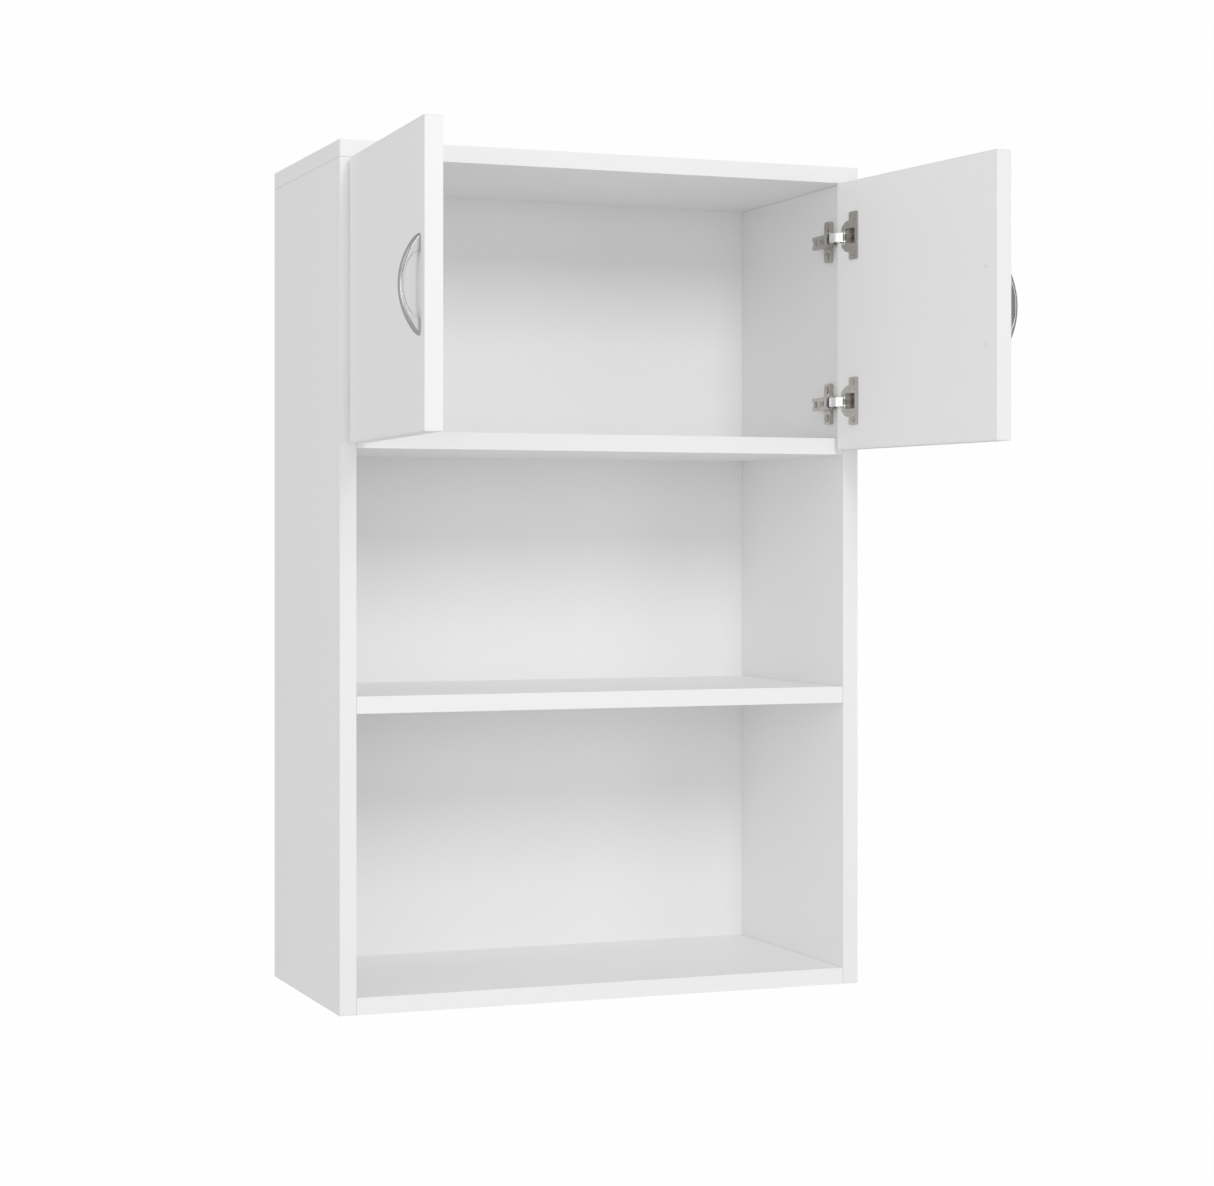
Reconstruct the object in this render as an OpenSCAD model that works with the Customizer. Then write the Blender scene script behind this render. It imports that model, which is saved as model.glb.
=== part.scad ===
// Hanging wall cabinet: two doors on concealed hinges above two open compartments.
// X runs across, Y = 0 is the wall plane and the front faces -Y, Z = 0 is the underside.
// The doors stand open at rest.

/* [Carcass] */
// Overall width
cab_w = 600; // [500:10:800]
// Overall height
cab_h = 915; // [860:5:1000]
// Depth of the carcass, without the doors
cab_d = 280; // [260:5:350]
// Thickness of the boards
board = 18; // [17:0.5:19]
// Height of the top face of the middle shelf
middle_shelf_z = 611; // [570:1:625]
// Height of the top face of the lower shelf
lower_shelf_z = 333; // [250:1:400]
// Thickness of the back panel
back_t = 3; // [2.5:0.5:4]

/* [Doors] */
// Gap at each edge of a closed door
door_gap = 2; // [1.5:0.5:3]
// How much of the middle shelf's front edge a door covers
door_cover = 13; // [8:1:15]
// How far the left door stands open, in degrees
left_open = 92; // [60:1:104]
// How far the right door stands open, in degrees
right_open = 97; // [60:1:104]

/* [Hinges] */
// Distance from the door's top edge to the upper hinge
hinge_top = 61; // [50:1:90]
// Distance from the door's bottom edge to the lower hinge
hinge_bottom = 53; // [50:1:90]
// Diameter of the cup
cup_d = 35; // [35:0.5:35.5]
// Distance from the door's edge to the centre of the cup
cup_inset = 22.5; // [22.5:0.5:24]
// Depth of the cup
cup_depth = 12; // [11.5:0.5:12.5]
// Distance between the two screws of a cup
cup_screw_gap = 42; // [42:1:45]
// Distance from the carcass front to the mounting plate's screws
plate_inset = 32; // [30:1:37]
// Distance between the two screws of a mounting plate
plate_screw_gap = 32; // [32:1:34]

/* [Handles] */
// Overall length of a handle
handle_len = 97; // [90:1:110]
// How far a handle stands out from the door
handle_rise = 21; // [20:1:26]
// Width of the bow
handle_w = 10; // [9:0.5:12]
// Distance between the two screws of a handle
handle_screw_gap = 80; // [78:1:82]
// Distance from the door's free edge to the handle's centreline
handle_inset = 19; // [17:1:40]
// Height of the handle's centre above the door's bottom edge
handle_up = 139; // [100:1:180]

/* [Hanging plates] */
// Width of a hanging plate
hanger_w = 16; // [16:0.5:17]
// Height of a hanging plate
hanger_h = 52; // [50:1:60]
// Diameter of the keyhole's entry
keyhole_d = 9.5; // [9:0.5:10]
// Width of the keyhole's slot
keyhole_slot = 5; // [4:0.5:5.5]

/* [Hidden] */
$fn = 48;
e = 0.1;                    // overlap of a cut beyond a face
clear = 0.05;               // radial clearance of a fastener in its bore
cross_slot_width = 0.34;    // width of a screw's cross slot, as a part of the slot's radius
pan_rim = 0.6;              // a pan head: straight part of its height, its top's radius and its slot's
pan_top = 0.7;
pan_slot = 0.6;

// Carcass
side_h = cab_h - board;                     // the top panel lies over the sides
inner_w = cab_w - 2 * board;
board_d = cab_d - back_t;                   // depth of the boards between the sides
back_lap = 8;                               // the back panel's lap behind the top panel
dowel_r = 4;
dowel_len = 30;
dowel_in_face = 11;                         // depth of a dowel in a board's face
dowel_y = [-205, -85];
cam_r = 7.5;
cam_h = 12.5;
cam_gap = 0.3;                              // a cam stops this far under its board's face
cam_notch = 7.6;                            // width of the notch for a bolt's head
cam_slot_r = 4.5;
cam_slot_depth = 2;
cam_notch_room = 0.5;                       // room over a bolt's head in the notch
cam_from_end = 34;                          // cam centre to the board's end
cam_y = [-240, -50];
bolt_bore_r = 4;
bolt_shaft_r = 2.5;
bolt_in_side = 11;
bolt_head_r = 3.3;
bolt_head_len = 3;
bolt_collar_t = 1.2;
bolt_collar_r = 3.6;
confirmat_y = [-240, -40];
confirmat_r = 2.5;
confirmat_neck_r = 3.5;
confirmat_head_r = 5;
confirmat_head_t = 3;
confirmat_len = 50;
socket_r = 2.3;                             // hexagon socket, across its corners
socket_depth = 4;
cap_r = 6.5;
cap_edge = 0.5;
cap_t = 0.8;
cap_stem_r = 1.7;
cap_stem_len = 2.6;
nail_r = 0.8;
nail_head_r = 2;
nail_head_t = 0.6;
nail_len = 15;
nail_x = [-240, -120, 0, 120, 240];
nail_z = [board / 2, lower_shelf_z - board / 2, middle_shelf_z - board / 2, side_h + back_lap / 2];

// Doors, in the frame of one side: x from the outer face, y from the carcass front
door_w = (cab_w - 3 * door_gap) / 2;
door_bottom = middle_shelf_z - door_cover;
door_top = side_h - door_gap;
door_h = door_top - door_bottom;
door_in_y = -door_gap;                      // inner face of a closed door
door_out_y = -door_gap - board;             // outer face of a closed door
hinge_zs = [door_top - hinge_top, door_bottom + hinge_bottom];

// Hinge pivots with the door closed, and how far the link turns for each degree of the door
arm_pivot = [31.1, 2.7];
cup_pivot = [door_gap + 9.6, door_in_y - 3.2];
link_ratio = 0.34;                          // link turn for each degree between link and door
link_turn = link_ratio / (1 - link_ratio);
link_reach = norm(cup_pivot - arm_pivot);
link_heading = atan2(cup_pivot[1] - arm_pivot[1], cup_pivot[0] - arm_pivot[0]);
link_sagitta = 8;                           // how far the link bows away from its pivots
link_arc_r = (pow(link_reach / 2, 2) + pow(link_sagitta, 2)) / (2 * link_sagitta);
link_half_angle = asin(link_reach / 2 / link_arc_r);
link_h = 10;
link_t = 1.4;
link_web_in = 0.2;                          // how far the web reaches inside the link's arc
link_web_first = 0.72;                      // the web's two ends, as parts of the arc's half
link_web_last = 0.8;
link_cheek_t = 1.2;
link_cheek_half_w = 1.1;
link_eye_r = 2.4;
pin_r = 1.25;
pin_clear = 0.05;
arm_pin_len = 16;
cup_pin_len = 20;
spring_r = 1.9;
spring_wire_r = 0.35;
spring_turns = 6;
spring_turn_gap = 0.1;
spring_wire_in = 0.06;                      // how far each ring runs into the next

// Cup
cup_wall = 0.8;
cup_rim = 0.2;                              // how far the cup stands out of the door
flange_t = 1.6;
flange_h = 53;
flange_w = 17;
flange_corner_r = 2.5;
cup_screw_x = door_gap + cup_inset + 11;
cup_screw_r = 1.75;
cup_screw_len = 10;
cup_screw_head_r = 3;
cup_screw_head_t = 1.2;
cup_screw_bore = 11;                        // depth of its bore in the door
gusset = [-9.5, 6, 4, 12.5];                // outline of the flange's gussets, from the cup's centre
mouth_first = 5.9;                          // the cup's opening, from the door's edge
mouth_last = 37;
mouth_half_h = 8.6;

// Mounting plate and arm
plate_t = 4.6;
wing_w = 15;
wing_h = 46;
ridge_w = 11;
ridge_t = 6;
arm_w = 14.4;
arm_t = 1.4;
arm_back = 56;
arm_front = 0.2;
arm_top = 29.6;                             // outer face of the arm's flat top
nose_top = 35.6;                            // outer face of the arm's raised nose
nose_len = 9;
nose_slope = 10;                            // length of the slope behind the nose
nose_under = 3;                             // how far the nose reaches inside its pivot
fix_screw_y = 47.5;
depth_screw_y = 30;
wing_corner_r = 3.5;
block_len = 9;                              // block under the arm that takes the fixing screw
arm_clear_y = 13;                           // the arm is open this far back, round the link
cheek_clear_y = 7;                          // and its outer wall this far
foot_chamfer = 2;
fix_screw_r = 2;
fix_screw_len = 10;
fix_head_r = 3.6;
fix_head_t = 1.6;
fix_slot_r = 2.4;
depth_screw_r = 1.6;
depth_head_r = 2.1;
depth_head_t = 0.8;
depth_hole_r = 2.2;
depth_sunk = 0.6;                           // how far the depth screw's head sits in the arm
depth_tip_gap = 0.8;                        // its tip stops this far off the plate
side_slot = [1.4, 6.8];                     // the two slots beside the depth screw
side_slot_out = 3.3;
screw_r = 2.45;
plate_screw_len = 12;
plate_screw_tip_gap = 0.5;
plate_head_r = 4.2;
plate_head_t = 1.6;

// Handle
handle_foot = 16;
handle_tip = 2.5;                           // height of the bow's blunt tips
handle_arc_h = handle_rise - handle_tip;
handle_arc_r = (pow(handle_len / 2, 2) + pow(handle_arc_h, 2)) / (2 * handle_arc_h);
gap_len = handle_len - 2 * handle_foot;
gap_rise = 16;
gap_arc_r = (pow(gap_len / 2, 2) + pow(gap_rise, 2)) / (2 * gap_rise);
handle_x = door_gap + door_w - handle_inset;
handle_z = door_bottom + handle_up;
handle_screw_r = 2;
handle_screw_room = 0.25;                   // room round the screw in the door
handle_slot = [2, 1];                       // the screw's cross slot: half its length, and its depth
handle_screw_grip = 6;
handle_head_r = 3.6;
handle_head_t = 2;

// Hanging plates
hanger_t = 2;
hanger_top = side_h - 5;
hanger_x = board / 2;
hanger_screw_r = 1.75;
hanger_screw_head_r = 3.2;
hanger_screw_len = 20;
hanger_slot = [1.8, 1];                     // the screw's cross slot: half its length, and its depth
hanger_screw_zs = [hanger_top - 6, hanger_top - hanger_h + 6];
keyhole_z = hanger_top - 32;
keyhole_drop = 12;
pocket_r = 6;
pocket_depth = 10;

white = [0.94, 0.94, 0.94];
hardboard = [0.78, 0.68, 0.54];
nickel = [0.68, 0.66, 0.63];
bright = [0.85, 0.85, 0.86];
zinc = [0.72, 0.73, 0.75];
beech = [0.82, 0.68, 0.48];

// ---- Places ----

// The frame of one side, mirrored for the right
module on_side(side) {
    if (side == "left") {
        translate([-cab_w / 2, -cab_d, 0])
            children();
    } else {
        mirror([1, 0, 0])
            translate([-cab_w / 2, -cab_d, 0])
                children();
    }
}

function open_angle(side) = side == "left" ? left_open : right_open;

function turned(p, a) = [p[0] * cos(a) - p[1] * sin(a), p[0] * sin(a) + p[1] * cos(a)];

// Where the cup pivot is when the door stands open by the angle
function cup_pivot_at(angle) = arm_pivot + turned(cup_pivot - arm_pivot, link_turn * angle);

// A closed door's parts, carried to the open pose
module on_door(side) {
    pivot = cup_pivot_at(open_angle(side));
    on_side(side)
        translate([pivot[0], pivot[1], 0])
            rotate([0, 0, -open_angle(side)])
                translate([-cup_pivot[0], -cup_pivot[1], 0])
                    children();
}

// A closed hinge's link, carried to the open pose
module on_link(side) {
    on_side(side)
        translate([arm_pivot[0], arm_pivot[1], 0])
            rotate([0, 0, link_turn * open_angle(side)])
                children();
}

// ---- General shapes ----

module rod(r, len, dir) {
    turn = dir == "x" ? [0, 90, 0] : dir == "-x" ? [0, -90, 0] : dir == "y" ? [-90, 0, 0] : [90, 0, 0];
    rotate(turn)
        cylinder(r = r, h = len);
}

module countersunk(r, head_r, len) {
    cylinder(r = r, h = len);
    cylinder(r1 = head_r, r2 = r, h = head_r - r);
}

module cross_slot(r, depth) {
    for (a = [0, 90])
        rotate([0, 0, a])
            cube([2 * r, r * cross_slot_width, 2 * depth], center = true);
}

module rounded_plate(w, h, t, r) {
    linear_extrude(t)
        union() {
            square([w, h - 2 * r], center = true);
            square([w - 2 * r, h], center = true);
            for (x = [-1, 1], y = [-1, 1])
                translate([x * (w / 2 - r), y * (h / 2 - r)])
                    circle(r = r);
        }
}

// ---- Carcass ----

// Bores in a side panel's inner face for one board that meets it at height z
module side_joint_bores(z) {
    for (y = cam_y)
        translate([board - bolt_in_side, cab_d + y, z])
            rod(bolt_shaft_r, bolt_in_side + e, "x");
    for (y = dowel_y)
        translate([board - dowel_in_face, cab_d + y, z])
            rod(dowel_r + clear, dowel_in_face + e, "x");
}

module hanger_recess() {
    translate([hanger_x - hanger_w / 2 - clear, cab_d - hanger_t, hanger_top - hanger_h - clear])
        cube([hanger_w + 2 * clear, hanger_t + e, hanger_h + 2 * clear]);
    for (z = [keyhole_z, keyhole_z + keyhole_drop])
        translate([hanger_x, cab_d - hanger_t - pocket_depth, z])
            rod(pocket_r, pocket_depth + e, "y");
    translate([hanger_x - pocket_r, cab_d - hanger_t - pocket_depth, keyhole_z])
        cube([2 * pocket_r, pocket_depth + e, keyhole_drop]);
    for (z = hanger_screw_zs)
        translate([hanger_x, cab_d - hanger_screw_len, z])
            rod(hanger_screw_r + clear, hanger_screw_len, "y");
}

module side_panel(side) {
    color(white)
        on_side(side)
            difference() {
                cube([board, cab_d, side_h]);
                for (z = [board, lower_shelf_z, middle_shelf_z])
                    side_joint_bores(z - board / 2);
                for (z = hinge_zs, s = [-1, 1])
                    translate([board - plate_screw_len, plate_inset, z + s * plate_screw_gap / 2])
                        rod(screw_r + clear, plate_screw_len + e, "x");
                for (y = confirmat_y)
                    translate([board / 2, cab_d + y, side_h - confirmat_len])
                        cylinder(r = confirmat_r + clear, h = confirmat_len + e);
                for (y = dowel_y)
                    translate([board / 2, cab_d + y, side_h - (dowel_len - dowel_in_face)])
                        cylinder(r = dowel_r + clear, h = dowel_len);
                hanger_recess();
            }
}

// Bores for a row of the back panel's nails
module nail_bores(z) {
    for (x = nail_x)
        translate([x, -nail_len - e, z])
            rod(nail_r + clear, nail_len, "y");
}

module top_panel() {
    color(white)
        difference() {
            translate([-cab_w / 2, -cab_d, side_h])
                cube([cab_w, cab_d, board]);
            translate([-inner_w / 2, -back_t, side_h - e])
                cube([inner_w, back_t + e, back_lap + e]);
            nail_bores(side_h + back_lap / 2);
            for (side = ["left", "right"])
                on_side(side) {
                    for (y = confirmat_y) {
                        translate([board / 2, cab_d + y, side_h - e])
                            cylinder(r = confirmat_neck_r + clear, h = board + 2 * e);
                        translate([board / 2, cab_d + y, cab_h - confirmat_head_t])
                            cylinder(r = confirmat_head_r + clear, h = confirmat_head_t + e);
                    }
                    for (y = dowel_y)
                        translate([board / 2, cab_d + y, side_h - e])
                            cylinder(r = dowel_r + clear, h = dowel_in_face + e);
                }
        }
}

// A board between the sides: its top face is at z, and cam_side is where its cams go in
module fixed_board(z, cam_side) {
    cam_z = cam_side == "top" ? z - cam_h : z - board - e;
    color(white)
        difference() {
            translate([-inner_w / 2, -cab_d, z - board])
                cube([inner_w, board_d, board]);
            nail_bores(z - board / 2);
            for (side = ["left", "right"])
                on_side(side) {
                    for (y = cam_y) {
                        translate([board - e, cab_d + y, z - board / 2])
                            rod(bolt_bore_r, cam_from_end + e, "x");
                        translate([board + cam_from_end, cab_d + y, cam_z])
                            cylinder(r = cam_r + clear, h = cam_h + e);
                    }
                    for (y = dowel_y)
                        translate([board - e, cab_d + y, z - board / 2])
                            rod(dowel_r + clear, dowel_len - dowel_in_face + e, "x");
                }
        }
}

module back_panel() {
    color(hardboard)
        difference() {
            translate([-inner_w / 2, -back_t, 0])
                cube([inner_w, back_t, side_h + back_lap]);
            for (x = nail_x, z = nail_z)
                translate([x, -back_t - e, z])
                    nail_shape(nail_r + clear, nail_head_r + clear, back_t + 2 * e, e);
        }
}

// A nail along Y whose head ends at y = len
module nail_shape(r, head_r, len, proud) {
    rod(r, len, "y");
    translate([0, len - nail_head_t - proud, 0])
        rod(head_r, nail_head_t + proud, "y");
}

module back_panel_nails() {
    color(zinc)
        for (x = nail_x, z = nail_z)
            translate([x, -nail_len, z])
                nail_shape(nail_r, nail_head_r, nail_len, 0);
}

module board_dowels() {
    color(beech)
        for (side = ["left", "right"], y = dowel_y)
            on_side(side) {
                for (z = [board, lower_shelf_z, middle_shelf_z])
                    translate([board - dowel_in_face + e, cab_d + y, z - board / 2])
                        rod(dowel_r, dowel_len - 2 * e, "x");
                translate([board / 2, cab_d + y, side_h - (dowel_len - dowel_in_face) + e])
                    cylinder(r = dowel_r, h = dowel_len - 2 * e);
            }
}

module cam_bolt() {
    rod(bolt_shaft_r - clear, bolt_in_side + cam_from_end - bolt_head_len, "x");
    translate([bolt_in_side, 0, 0])
        rod(bolt_collar_r, bolt_collar_t, "x");
    translate([bolt_in_side + cam_from_end - bolt_head_len, 0, 0])
        rod(bolt_head_r, bolt_head_len, "x");
}

module cam_bolts() {
    color(zinc)
        for (side = ["left", "right"], y = cam_y, z = [board, lower_shelf_z, middle_shelf_z])
            on_side(side)
                translate([board - bolt_in_side, cab_d + y, z - board / 2])
                    cam_bolt();
}

// A cam with its turning slot up, and its notch for the bolt's head facing -X
module cam_lock() {
    difference() {
        cylinder(r = cam_r, h = cam_h - cam_gap);
        translate([-cam_r - e, -cam_notch / 2, -e])
            cube([cam_r + bolt_head_len / 2, cam_notch, cam_h - board / 2 + bolt_head_r + cam_notch_room]);
        translate([0, 0, cam_h])
            cross_slot(cam_slot_r, cam_slot_depth);
    }
}

module cam_locks() {
    color(zinc)
        for (side = ["left", "right"], y = cam_y)
            on_side(side) {
                translate([board + cam_from_end, cab_d + y, middle_shelf_z - cam_h])
                    cam_lock();
                for (z = [board, lower_shelf_z])
                    translate([board + cam_from_end, cab_d + y, z - board + cam_h])
                        rotate([180, 0, 0])
                            cam_lock();
            }
}

module confirmat_screws() {
    color(zinc)
        for (side = ["left", "right"], y = confirmat_y)
            on_side(side)
                translate([board / 2, cab_d + y, cab_h - confirmat_len])
                    difference() {
                        union() {
                            cylinder(r = confirmat_r, h = confirmat_len);
                            translate([0, 0, confirmat_len - board])
                                cylinder(r = confirmat_neck_r, h = board);
                            translate([0, 0, confirmat_len - confirmat_head_t])
                                cylinder(r = confirmat_head_r, h = confirmat_head_t);
                        }
                        translate([0, 0, confirmat_len - socket_depth])
                            cylinder(r = socket_r, h = socket_depth + e, $fn = 6);
                    }
}

module screw_caps() {
    color(white)
        for (side = ["left", "right"], y = confirmat_y)
            on_side(side)
                translate([board / 2, cab_d + y, cab_h]) {
                    cylinder(r1 = cap_r, r2 = cap_r - cap_edge, h = cap_t);
                    translate([0, 0, -cap_stem_len])
                        cylinder(r = cap_stem_r, h = cap_stem_len + cap_t / 2);
                }
}

// ---- Hanging plates ----

module hanging_plate(side) {
    color(zinc)
        on_side(side)
            translate([hanger_x, cab_d, 0])
                difference() {
                    translate([-hanger_w / 2, -hanger_t, hanger_top - hanger_h])
                        cube([hanger_w, hanger_t, hanger_h]);
                    translate([0, -hanger_t - e, keyhole_z])
                        rod(keyhole_d / 2, hanger_t + 2 * e, "y");
                    translate([-keyhole_slot / 2, -hanger_t - e, keyhole_z])
                        cube([keyhole_slot, hanger_t + 2 * e, keyhole_drop]);
                    translate([0, -hanger_t - e, keyhole_z + keyhole_drop])
                        rod(keyhole_slot / 2, hanger_t + 2 * e, "y");
                    for (z = hanger_screw_zs)
                        translate([0, e, z])
                            rotate([90, 0, 0])
                                countersunk(hanger_screw_r + clear, hanger_screw_head_r + e + clear,
                                    hanger_t + 2 * e);
                }
}

module hanging_plate_screws() {
    color(zinc)
        for (side = ["left", "right"], z = hanger_screw_zs)
            on_side(side)
                translate([hanger_x, cab_d, z])
                    rotate([90, 0, 0])
                        difference() {
                            countersunk(hanger_screw_r, hanger_screw_head_r, hanger_screw_len);
                            cross_slot(hanger_slot[0], hanger_slot[1]);
                        }
}

// ---- Hinges ----

module mounting_plate(side, z) {
    color(nickel)
        on_side(side)
            translate([board, plate_inset, z])
                difference() {
                    union() {
                        rotate([0, 90, 0])
                            rounded_plate(wing_h, wing_w, plate_t, wing_corner_r);
                        translate([0, arm_front + cheek_clear_y - plate_inset, -ridge_w / 2])
                            cube([ridge_t, arm_back - arm_front - cheek_clear_y - foot_chamfer, ridge_w]);
                        translate([0, fix_screw_y - plate_inset - block_len / 2, -ridge_w / 2])
                            cube([arm_top - arm_t - board, block_len, ridge_w]);
                    }
                    for (s = [-1, 1])
                        translate([-e, 0, s * plate_screw_gap / 2])
                            rod(screw_r + clear, plate_t + 2 * e, "x");
                    translate([-e, fix_screw_y - plate_inset, 0])
                        rod(fix_screw_r + clear, arm_top - board, "x");
                }
}

module pan_screw(r, len, head_r, head_t) {
    rim_t = head_t * pan_rim;
    difference() {
        union() {
            translate([-len, 0, 0])
                rod(r, len + e, "x");
            rod(head_r, rim_t, "x");
            translate([rim_t, 0, 0])
                rotate([0, 90, 0])
                    cylinder(r1 = head_r, r2 = head_r * pan_top, h = head_t - rim_t);
        }
        translate([head_t, 0, 0])
            rotate([0, 90, 0])
                cross_slot(head_r * pan_slot, head_t / 2);
    }
}

module mounting_plate_screws() {
    color(nickel)
        for (side = ["left", "right"], z = hinge_zs, s = [-1, 1])
            on_side(side)
                translate([board + plate_t, plate_inset, z + s * plate_screw_gap / 2])
                    pan_screw(screw_r, plate_screw_len + plate_t - plate_screw_tip_gap,
                        plate_head_r, plate_head_t);
}

// Outline of the arm seen from above: x out from the side panel, y into the cabinet
module arm_outline(inset) {
    foot_x = board + ridge_t - 1;
    polygon([
        [foot_x, arm_front + cheek_clear_y], [foot_x, arm_back - foot_chamfer / 2],
        [foot_x + foot_chamfer, arm_back], [arm_top - inset, arm_back],
        [arm_top - inset, arm_front + nose_len + nose_slope], [nose_top - inset, arm_front + nose_len],
        [nose_top - inset, arm_front], [arm_pivot[0] - nose_under, arm_front]
    ]);
}

module hinge_arm(side, z) {
    color(nickel)
        on_side(side)
            translate([0, 0, z])
                difference() {
                    translate([0, 0, -arm_w / 2])
                        linear_extrude(arm_w)
                            arm_outline(0);
                    translate([0, 0, -arm_w / 2 + arm_t])
                        linear_extrude(arm_w - 2 * arm_t)
                            union() {
                                arm_outline(arm_t);
                                translate([board, arm_front - 1])
                                    square([nose_top - arm_t - board, arm_clear_y]);
                                translate([board, arm_front - 1])
                                    square([nose_top, cheek_clear_y]);
                                translate([board, arm_front])
                                    square([ridge_t + foot_chamfer, arm_back]);
                            }
                    translate([arm_pivot[0], arm_pivot[1], -arm_w])
                        cylinder(r = pin_r, h = 2 * arm_w);
                    translate([board + ridge_t, fix_screw_y, 0])
                        rod(fix_slot_r, nose_top, "x");
                    translate([board + ridge_t, fix_screw_y, -fix_slot_r])
                        cube([nose_top, arm_back, 2 * fix_slot_r]);
                    translate([board + ridge_t, depth_screw_y, 0])
                        rod(depth_hole_r, nose_top, "x");
                    for (s = [-1, 1])
                        translate([arm_top, depth_screw_y + s * side_slot_out, 0])
                            cube([4 * arm_t, side_slot[0], side_slot[1]], center = true);
                }
}

module arm_fixing_screws() {
    color(nickel)
        for (side = ["left", "right"], z = hinge_zs)
            on_side(side)
                translate([arm_top, fix_screw_y, z])
                    pan_screw(fix_screw_r, fix_screw_len, fix_head_r, fix_head_t);
}

module arm_depth_screws() {
    color(nickel)
        for (side = ["left", "right"], z = hinge_zs)
            on_side(side)
                translate([arm_top - depth_sunk, depth_screw_y, z])
                    pan_screw(depth_screw_r, arm_top - board - ridge_t - depth_tip_gap,
                        depth_head_r, depth_head_t);
}

module arm_pins() {
    color(bright)
        for (side = ["left", "right"], z = hinge_zs)
            on_side(side)
                translate([arm_pivot[0], arm_pivot[1], z - arm_pin_len / 2])
                    cylinder(r = pin_r - clear / 2, h = arm_pin_len);
}

// A band round the link's arc, between two radii, from pivot to pivot
module link_band(inner_r, outer_r, first, last) {
    translate([link_reach / 2, link_sagitta - link_arc_r])
        intersection() {
            difference() {
                circle(r = outer_r, $fn = 96);
                circle(r = inner_r, $fn = 96);
            }
            polygon([
                [0, 0],
                [2 * link_arc_r * sin(first), 2 * link_arc_r * cos(first)],
                [0, 3 * link_arc_r],
                [2 * link_arc_r * sin(last), 2 * link_arc_r * cos(last)]
            ]);
        }
}

// The closed hinge's link, with the arm pivot at the origin: it bows towards the door
module hinge_link(side, z) {
    color(bright)
        on_link(side)
            translate([0, 0, z])
                rotate([0, 0, link_heading])
                    difference() {
                        union() {
                            translate([0, 0, -link_h / 2])
                                linear_extrude(link_h)
                                    link_band(link_arc_r - link_web_in, link_arc_r + link_t - link_web_in,
                                        -link_half_angle * link_web_first, link_half_angle * link_web_last);
                            for (s = [0, 1])
                                translate([0, 0, s == 0 ? -link_h / 2 : link_h / 2 - link_cheek_t])
                                    linear_extrude(link_cheek_t)
                                        union() {
                                            link_band(link_arc_r - link_cheek_half_w, link_arc_r + link_cheek_half_w,
                                                -link_half_angle, link_half_angle);
                                            circle(r = link_eye_r);
                                            translate([link_reach, 0])
                                                circle(r = link_eye_r);
                                        }
                        }
                        for (x = [0, link_reach])
                            translate([x, 0, -link_h])
                                cylinder(r = pin_r + pin_clear, h = 2 * link_h);
                    }
}

// ---- Doors ----

module door(side) {
    color(white)
        on_door(side)
            difference() {
                translate([door_gap, door_out_y, door_bottom])
                    cube([door_w, board, door_h]);
                for (z = hinge_zs) {
                    translate([door_gap + cup_inset, door_in_y - cup_depth, z])
                        rod(cup_d / 2 + clear, cup_depth + e, "y");
                    for (s = [-1, 1])
                        translate([cup_screw_x, door_in_y - cup_screw_bore, z + s * cup_screw_gap / 2])
                            rod(cup_screw_r + clear, cup_screw_bore + e, "y");
                }
                for (s = [-1, 1])
                    translate([handle_x, door_out_y - e, handle_z + s * handle_screw_gap / 2]) {
                        rod(handle_screw_r + handle_screw_room, board + 2 * e, "y");
                        translate([0, board - handle_head_t + e, 0])
                            rotate([-90, 0, 0])
                                cylinder(r1 = handle_screw_r + 3 * clear, r2 = handle_head_r + 3 * clear,
                                    h = handle_head_t + e / 2);
                    }
            }
}

module hinge_cup(side, z) {
    color(nickel)
        on_door(side)
            translate([door_gap + cup_inset, door_in_y, z])
                difference() {
                    union() {
                        translate([0, cup_rim - cup_depth, 0])
                            rod(cup_d / 2, cup_depth, "y");
                        translate([0, flange_t, 0])
                            rotate([90, 0, 0])
                                linear_extrude(flange_t)
                                    polygon([
                                        [gusset[0], -gusset[1]], [gusset[2], -gusset[3]],
                                        [cup_d / 2, -gusset[3]], [cup_d / 2, gusset[3]],
                                        [gusset[2], gusset[3]], [gusset[0], gusset[1]]
                                    ]);
                        translate([cup_screw_x - door_gap - cup_inset, flange_t, 0])
                            rotate([90, 0, 0])
                                rounded_plate(flange_w, flange_h, flange_t, flange_corner_r);
                    }
                    translate([mouth_first - cup_inset, cup_wall - cup_depth, -mouth_half_h])
                        cube([mouth_last - mouth_first, cup_depth + flange_t, 2 * mouth_half_h]);
                    translate([cup_pivot[0] - door_gap - cup_inset, cup_pivot[1] - door_in_y, -cup_pin_len / 2])
                        cylinder(r = pin_r, h = cup_pin_len);
                    for (s = [-1, 1])
                        translate([cup_screw_x - door_gap - cup_inset, -e, s * cup_screw_gap / 2])
                            rod(cup_screw_r + clear, flange_t + 2 * e, "y");
                }
}

module cup_screws(side) {
    color(nickel)
        on_door(side)
            for (z = hinge_zs, s = [-1, 1])
                translate([cup_screw_x, door_in_y + flange_t, z + s * cup_screw_gap / 2])
                    rotate([0, 0, 90])
                        pan_screw(cup_screw_r, cup_screw_len + flange_t, cup_screw_head_r, cup_screw_head_t);
}

module cup_pins(side) {
    color(bright)
        on_door(side)
            for (z = hinge_zs)
                translate([cup_pivot[0], cup_pivot[1], z - cup_pin_len / 2])
                    cylinder(r = pin_r - clear / 2, h = cup_pin_len);
}

// Closing spring: a coil round the cup's pin, between the link's cheeks
module closing_springs(side) {
    pitch = 2 * spring_wire_r + spring_turn_gap;
    color(bright)
        on_door(side)
            for (z = hinge_zs, i = [0 : spring_turns - 1])
                translate([cup_pivot[0], cup_pivot[1], z + (i - (spring_turns - 1) / 2) * pitch])
                    rotate_extrude()
                        translate([spring_r, 0])
                            circle(r = spring_wire_r + spring_wire_in);
}

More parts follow.
